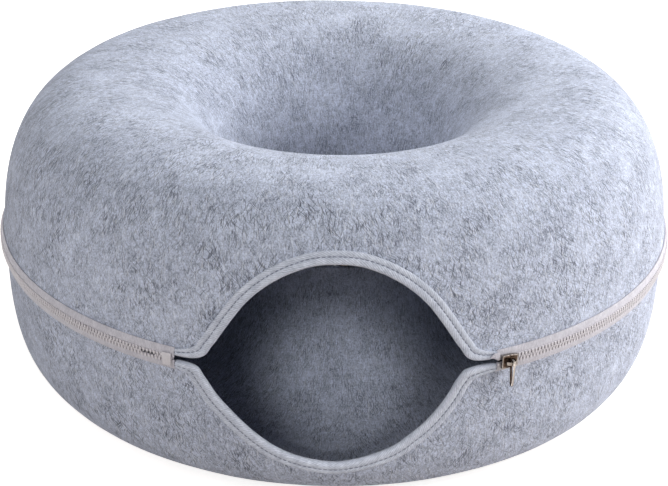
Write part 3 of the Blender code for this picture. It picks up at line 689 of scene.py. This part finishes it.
# Zip teeth. Acetal resin, moulded straight onto the edges of the tapes, each with a head that hooks between two
# teeth of the other row. Only those where the slider's post stands at the end of its run are short, to clear it.
TOOTH_PITCH = 0.0027
CHAIN_HALF_HEIGHT = 0.0029
SHORT_TEETH = 4
WHOLE_END_TEETH = 2
SHORT_END = 0.0005
TOOTH_HALF_WIDTH = 0.00086
TOOTH_OUTLINE = ((0.00078, CHAIN_HALF_HEIGHT), (TOOTH_HALF_WIDTH, 0.0025), (TOOTH_HALF_WIDTH, 0.0012),
                 (0.00050, 0.0008), (0.00050, 0.0004), (0.00064, 0.0001), (0.00064, -0.0003), (0.00040, -0.0007))
TOOTH_LEVELS = ((0.0, 0.80), (0.00035, 1.0), (TEETH_DEPTH, 1.0))
TOOTH_MIDDLE = 0.0011
TOOTH_DRAFT = 0.45
SLIDER_LENGTH = 0.0115
STOP_LENGTH = 0.0018
BOX_LENGTH = 0.0062


def moulded_tooth():
    """One tooth of the upper row: X along the zip, Y into the zip from the tooth faces, Z up from the middle."""
    outline = [*TOOTH_OUTLINE, *[(-along, height) for along, height in TOOTH_OUTLINE[::-1]]]
    mesh = bmesh.new()
    rings = []
    for depth, size in TOOTH_LEVELS:
        tall = 1 - (1 - size) * TOOTH_DRAFT
        rings.append([mesh.verts.new((along * size, depth, TOOTH_MIDDLE + (height - TOOTH_MIDDLE) * tall))
                      for along, height in outline])
    for near, far in zip(rings, rings[1:]):
        for spot in range(len(outline)):
            after = (spot + 1) % len(outline)
            mesh.faces.new((near[spot], near[after], far[after], far[spot]))
    mesh.faces.new(rings[0])
    mesh.faces.new(rings[-1])
    bmesh.ops.recalc_face_normals(mesh, faces=mesh.faces)
    data = bpy.data.meshes.new("tooth")
    mesh.to_mesh(data)
    mesh.free()
    return data


def teeth_tree():
    """A row of teeth round a ring, from a single tooth, with some near its end cut short of the seam."""
    tree, given, out = node_group(
        "row_of_teeth", Int=("Count", "Short from", "Short to"), Material=("Resin",),
        Float=("Short end", "Start", "Step", "Radius", "Seam height", "Tilt", "Face"))
    get = given.outputs
    row = add(tree, "GeometryNodeMeshLine", {"Count": get["Count"]})
    number = add(tree, "GeometryNodeInputIndex")
    azimuth = add(tree, "ShaderNodeMath", {0: number, 1: get["Step"], 2: get["Start"]}, operation="MULTIPLY_ADD")
    facing = add(tree, "ShaderNodeMath", {0: azimuth, 1: math.pi / 2}, operation="SUBTRACT")
    sideways = add(tree, "ShaderNodeCombineXYZ", {"X": get["Radius"], "Z": get["Seam height"]})
    place = add(tree, "ShaderNodeVectorRotate", {"Vector": sideways, "Angle": facing}, rotation_type="Z_AXIS")
    spots = add(tree, "GeometryNodeSetPosition", {"Geometry": row, "Position": place})
    # A face of 1 turns the teeth outwards, and one of -1 turns them inwards, towards the hole.
    inwards = add(tree, "ShaderNodeMath", {0: get["Face"], 1: -math.pi / 2, 2: math.pi / 2},
                  operation="MULTIPLY_ADD")
    turn = add(tree, "ShaderNodeMath", {0: azimuth, 1: inwards}, operation="ADD")
    turn = add(tree, "ShaderNodeCombineXYZ", {"Y": get["Tilt"], "Z": turn})
    spin = add(tree, "FunctionNodeEulerToRotation", {"Euler": turn})
    at = add(tree, "ShaderNodeSeparateXYZ", {"Vector": add(tree, "GeometryNodeInputPosition")})
    end = add(tree, "ShaderNodeMath", {0: at.outputs["Z"], 1: get["Short end"]}, operation="MAXIMUM")
    cut = add(tree, "ShaderNodeCombineXYZ", {"X": at.outputs["X"], "Y": at.outputs["Y"], "Z": end})
    short = add(tree, "GeometryNodeSetPosition", {"Geometry": get["Geometry"], "Position": cut})
    past = add(tree, "FunctionNodeCompare", {"A": number, "B": get["Short from"]}, operation="GREATER_EQUAL")
    before = add(tree, "FunctionNodeCompare", {"A": number, "B": get["Short to"]}, operation="LESS_THAN")
    trimmed = add(tree, "FunctionNodeBooleanMath", {0: past, 1: before}, operation="AND")
    whole = add(tree, "FunctionNodeBooleanMath", {0: trimmed}, operation="NOT")
    both = add(tree, "GeometryNodeJoinGeometry")
    for chosen, tooth in ((whole, get["Geometry"]), (trimmed, short)):
        feed(tree, both, {"Geometry": add(tree, "GeometryNodeInstanceOnPoints", {
            "Points": spots, "Selection": chosen, "Instance": tooth, "Rotation": spin})})
    finish_group(tree, out, both, get["Resin"])
    return tree


# Moulded acetal: smooth and a little waxy, with a faint cloudiness and an uneven gloss, every 1.4 mm, where it
# flowed.
FLOW_MARKS_PER_METRE = 700
resin, resin_tree, resin_shader = surface("acetal_resin")
here = add(resin_tree, "ShaderNodeTexCoord").outputs["Object"]
flow = add(resin_tree, "ShaderNodeTexNoise", {"Vector": here, "Scale": FLOW_MARKS_PER_METRE, "Detail": 2})
cloudy = add(resin_tree, "ShaderNodeMix", {
    "Factor": flow, "A": colour("#C3BFC5"), "B": colour("#D9D5D9")}, data_type="RGBA")
waxy = add(resin_tree, "ShaderNodeMapRange", {"Value": flow, "To Min": 0.34, "To Max": 0.5})
feed(resin_tree, resin_shader, {"Base Color": cloudy.outputs["Result"], "Roughness": waxy})
teeth_row = teeth_tree()
for zip_name, closure in ZIPS.items():
    radius = closure["radius"]
    slider_start = closure["end"] + (STOP_LENGTH + 2 * TOUCH_GAP) / radius
    first = slider_start + (SLIDER_LENGTH + TOUCH_GAP + TOOTH_HALF_WIDTH) / radius
    last = math.tau - closure["end"] - (STOP_LENGTH + 2 * TOUCH_GAP + BOX_LENGTH + TOOTH_HALF_WIDTH) / radius
    count = int((last - first) * radius / TOOTH_PITCH)
    step = (last - first) / (count + 0.5)
    for name, half in HALVES.items():
        upper = half["side"] > 0
        row = grown(f"{zip_name}_zip_teeth_{name}", teeth_row, {
            "Count": count + 1, "Short from": count + 1 - WHOLE_END_TEETH - SHORT_TEETH,
            "Short to": count + 1 - WHOLE_END_TEETH, "Short end": SHORT_END,
            "Start": first + (step / 2 if upper else 0.0), "Step": step, "Radius": radius,
            "Seam height": SEAM_HEIGHT, "Tilt": 0.0 if upper else math.pi, "Face": float(closure["face"]),
            "Resin": resin,
        }, moulded_tooth())
        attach(row, f"{name}_half")
        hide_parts(f"{zip_name}_zip_{name}_teeth")

# Stops, boxes and pins. The same resin, moulded onto the ends of the tapes: a stop at the start of each row, the
# box on the lower tape's end and the pin on the upper one's. Moulded corners are a little rounded.
PLASTIC_PIECES = {
    "lower_stop": "lower_half", "upper_stop": "upper_half", "box": "lower_half", "pin": "upper_half"}
MOULDED_CORNER = 0.0003
WELD_DISTANCE = 1e-6
FLAT_ANGLE = math.radians(2)
CORNER_ANGLE = math.radians(30)
SHARP_ANGLE = math.radians(40)


def softened(name, node, width, look, segments=2):
    """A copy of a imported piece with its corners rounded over."""
    mesh = bmesh.new()
    mesh.from_mesh(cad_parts[node].data)
    bmesh.ops.remove_doubles(mesh, verts=mesh.verts, dist=WELD_DISTANCE)
    bmesh.ops.dissolve_limit(mesh, angle_limit=FLAT_ANGLE, verts=mesh.verts, edges=mesh.edges)
    bmesh.ops.recalc_face_normals(mesh, faces=mesh.faces)
    corners = [edge for edge in mesh.edges if edge.calc_face_angle(0) > CORNER_ANGLE]
    bmesh.ops.bevel(mesh, geom=corners, offset=width, segments=segments, profile=0.5, affect="EDGES",
                    clamp_overlap=True)
    for face in mesh.faces:
        face.smooth = True
    data = bpy.data.meshes.new(name)
    mesh.to_mesh(data)
    mesh.free()
    data.set_sharp_from_angle(angle=SHARP_ANGLE)
    data.materials.append(look)
    return linked(name, data)


for zip_name in ZIPS:
    for piece, body in PLASTIC_PIECES.items():
        part = softened(f"{zip_name}_zip_{piece}_moulding", f"{zip_name}_zip_{piece}", MOULDED_CORNER, resin)
        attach(part, body)
        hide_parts(f"{zip_name}_zip_{piece}")

# Sliders and pulls. Zinc castings with a dark bronze plating: two plates on a post, with an arch on the front one
# that holds the long loop of the pull.
CAST_CORNER = 0.00038
# Bronze-plated zinc: dark and glossy, blotchy where the plating is thin, every 2 mm, and slightly wavy from the
# mould, every 2.4 mm.
THIN_SPOTS_PER_METRE = 520
CAST_WAVES_PER_METRE = 420
CAST_WAVE_HEIGHT = 0.0012
PAINTED_GLINT_EDGE = (0.52, 0.60)
bronze, bronze_tree, bronze_shader = surface("bronze_plated_zinc", Metallic=1.0)
here = add(bronze_tree, "ShaderNodeTexCoord").outputs["Object"]
wear = add(bronze_tree, "ShaderNodeTexNoise", {
    "Vector": here, "Scale": THIN_SPOTS_PER_METRE, "Detail": 3, "Roughness": 0.6})
plating = add(bronze_tree, "ShaderNodeMix", {
    "Factor": wear, "A": colour("#17110E"), "B": colour("#5E4C40")}, data_type="RGBA")
# Painted highlights: the sharp edges, picked out by their pointiness, are painted near-white, as glints of light
# on them.
point = add(bronze_tree, "ShaderNodeNewGeometry").outputs["Pointiness"]
painted_glint = add(bronze_tree, "ShaderNodeMapRange", {
    "Value": point, "From Min": PAINTED_GLINT_EDGE[0], "From Max": PAINTED_GLINT_EDGE[1]})
glint_painted = add(bronze_tree, "ShaderNodeMix", {
    "Factor": painted_glint, "A": plating.outputs["Result"], "B": colour("#EFE7DF")}, data_type="RGBA")
dulled = add(bronze_tree, "ShaderNodeMapRange", {"Value": wear, "To Min": 0.08, "To Max": 0.34})
cast = add(bronze_tree, "ShaderNodeTexNoise", {"Vector": here, "Scale": CAST_WAVES_PER_METRE, "Detail": 1})
uneven = add(bronze_tree, "ShaderNodeBump", {"Height": cast, "Strength": 1.0, "Distance": CAST_WAVE_HEIGHT})
feed(bronze_tree, bronze_shader, {"Base Color": glint_painted.outputs["Result"], "Roughness": dulled, "Normal": uneven})

for zip_name in ZIPS:
    for piece in ("slider", "pull"):
        part = softened(f"{zip_name}_zip_{piece}_casting", f"{zip_name}_zip_{piece}", CAST_CORNER, bronze, 3)
        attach(part, f"{zip_name}_{piece}")
        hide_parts(f"{zip_name}_zip_{piece}")

# The studio: soft boxes low, high and behind at the right, as from a window, weaker ones at the left, three narrow
# lamps that shine in at the entrance, and pale paper, which shows as white except for the tunnel's shadow.
FOCAL_PIXELS = 1692.5
CAMERA_DISTANCE = 1.3
CAMERA_AZIMUTH = math.radians(-0.56)
CAMERA_ELEVATION = math.radians(25.87)
CAMERA_ROLL = math.radians(0.76)
CAMERA_AIM = Vector((0, 0, SEAM_HEIGHT - 0.0263))
PICTURE_WIDTH = 668
LAMP_DISTANCE = 2.0
SOFT_BOX_SIZE = 1.2
# Name, azimuth, elevation and watts.
SOFT_BOXES = (
    ("window_front", 70, 35, 16), ("window_front_low", 70, 12, 9), ("window_low", 90, 12, 13.5),
    ("window_back_low", 125, 12, 9), ("window_back", 125, 35, 19), ("back", 180, 45, 17),
    ("left_fill", -45, 35, 14), ("left_low", -45, 12, 4.5),
)
# Name, elevation, watts, the cone's angle and the place that it is aimed at.
SNOOTS = (
    ("inside_back", 18, 2.7, 0.088, (0.012, -0.15, 0.076)),
    ("inside_front", 22, 5.5, 0.080, (0.008, -0.12, 0.03)),
    ("inside_floor", 27, 45, 0.062, (0.003, -0.12, 0.028)),
)
SNOOT_EDGE = 0.8
SNOOT_RADIUS = 0.02
FILL_STRENGTH = 0.02
FLOOR_HALF_SIZE = 12
SHADOW_REACH = (0.35, 0.8)
SHADOWED_WHITE = 0.8

camera = linked("camera", bpy.data.cameras.new("camera"))
camera.data.lens = camera.data.sensor_width * FOCAL_PIXELS / PICTURE_WIDTH
back = Vector((math.sin(CAMERA_AZIMUTH) * math.cos(CAMERA_ELEVATION),
               -math.cos(CAMERA_AZIMUTH) * math.cos(CAMERA_ELEVATION), math.sin(CAMERA_ELEVATION)))
camera.matrix_world = (Matrix.Translation(CAMERA_AIM + back * CAMERA_DISTANCE)
                       @ back.to_track_quat("Z", "Y").to_matrix().to_4x4() @ Matrix.Rotation(CAMERA_ROLL, 4, "Z"))
bpy.context.scene.camera = camera
bpy.context.scene.view_settings.view_transform = "Standard"


def lamp(name, kind, azimuth, elevation, power, aim=(0, 0, SEAM_HEIGHT)):
    """A lamp two metres from the place that it faces, at this azimuth from the front and this elevation."""
    data = bpy.data.lights.new(name, kind)
    data.energy = power
    made = linked(name, data)
    turn, rise = math.radians(azimuth), math.radians(elevation)
    away = Vector((math.sin(turn) * math.cos(rise), -math.cos(turn) * math.cos(rise), math.sin(rise)))
    made.location = Vector(aim) + LAMP_DISTANCE * away
    made.rotation_euler = away.to_track_quat("Z", "Y").to_euler()
    made.visible_camera = False
    return data


for name, azimuth, elevation, power in SOFT_BOXES:
    lamp(name, "AREA", azimuth, elevation, power).size = SOFT_BOX_SIZE
for name, elevation, power, cone, aim in SNOOTS:
    narrow = lamp(name, "SPOT", 0, elevation, power, aim)
    narrow.spot_size = cone
    narrow.spot_blend = SNOOT_EDGE
    narrow.shadow_soft_size = SNOOT_RADIUS

world = bpy.data.worlds.new("studio")
bpy.context.scene.world = world
world.use_nodes = True
sky = world.node_tree.nodes["Background"]


def seen_white(tree):
    """1 for the rays that show the backdrop to the camera, straight or in something glossy or clear."""
    rays = add(tree, "ShaderNodeLightPath").outputs
    either = add(tree, "ShaderNodeMath", {0: rays["Is Camera Ray"], 1: rays["Is Glossy Ray"]}, operation="MAXIMUM")
    return add(tree, "ShaderNodeMath", {0: either, 1: rays["Is Transmission Ray"]}, operation="MAXIMUM")


strength = add(world.node_tree, "ShaderNodeMapRange", {
    "Value": seen_white(world.node_tree), "To Min": FILL_STRENGTH})
feed(world.node_tree, sky, {"Color": colour("#FFFFFF"), "Strength": strength})

corners = [(FLOOR_HALF_SIZE * x, FLOOR_HALF_SIZE * y, 0) for x, y in ((-1, -1), (1, -1), (1, 1), (-1, 1))]
floor_data = bpy.data.meshes.new("floor")
floor_data.from_pydata(corners, [], [(0, 1, 2, 3)])
floor = linked("floor", floor_data)
# Matt paper, which throws a warm light on the tunnel's foot. It shows as white, a little less close round the
# tunnel, where its shadow is kept.
paper, paper_tree, paper_shader = surface("floor_paper", Roughness=0.9, Base_Color=colour("#D2CAC4"))
spot = add(paper_tree, "ShaderNodeTexCoord").outputs["Object"]
apart = add(paper_tree, "ShaderNodeVectorMath", {0: spot}, operation="LENGTH")
whiteness = add(paper_tree, "ShaderNodeMapRange", {"Value": apart.outputs["Value"], "To Min": SHADOWED_WHITE,
                                                   "From Min": SHADOW_REACH[0], "From Max": SHADOW_REACH[1]})
shown = add(paper_tree, "ShaderNodeMath", {0: whiteness, 1: seen_white(paper_tree)}, operation="MULTIPLY")
white = add(paper_tree, "ShaderNodeEmission", {"Color": colour("#FFFFFF"), "Strength": shown})
lit = add(paper_tree, "ShaderNodeAddShader", {0: paper_shader, 1: white})
feed(paper_tree, paper_tree.nodes["Material Output"], {"Surface": lit})
floor_data.materials.append(paper)
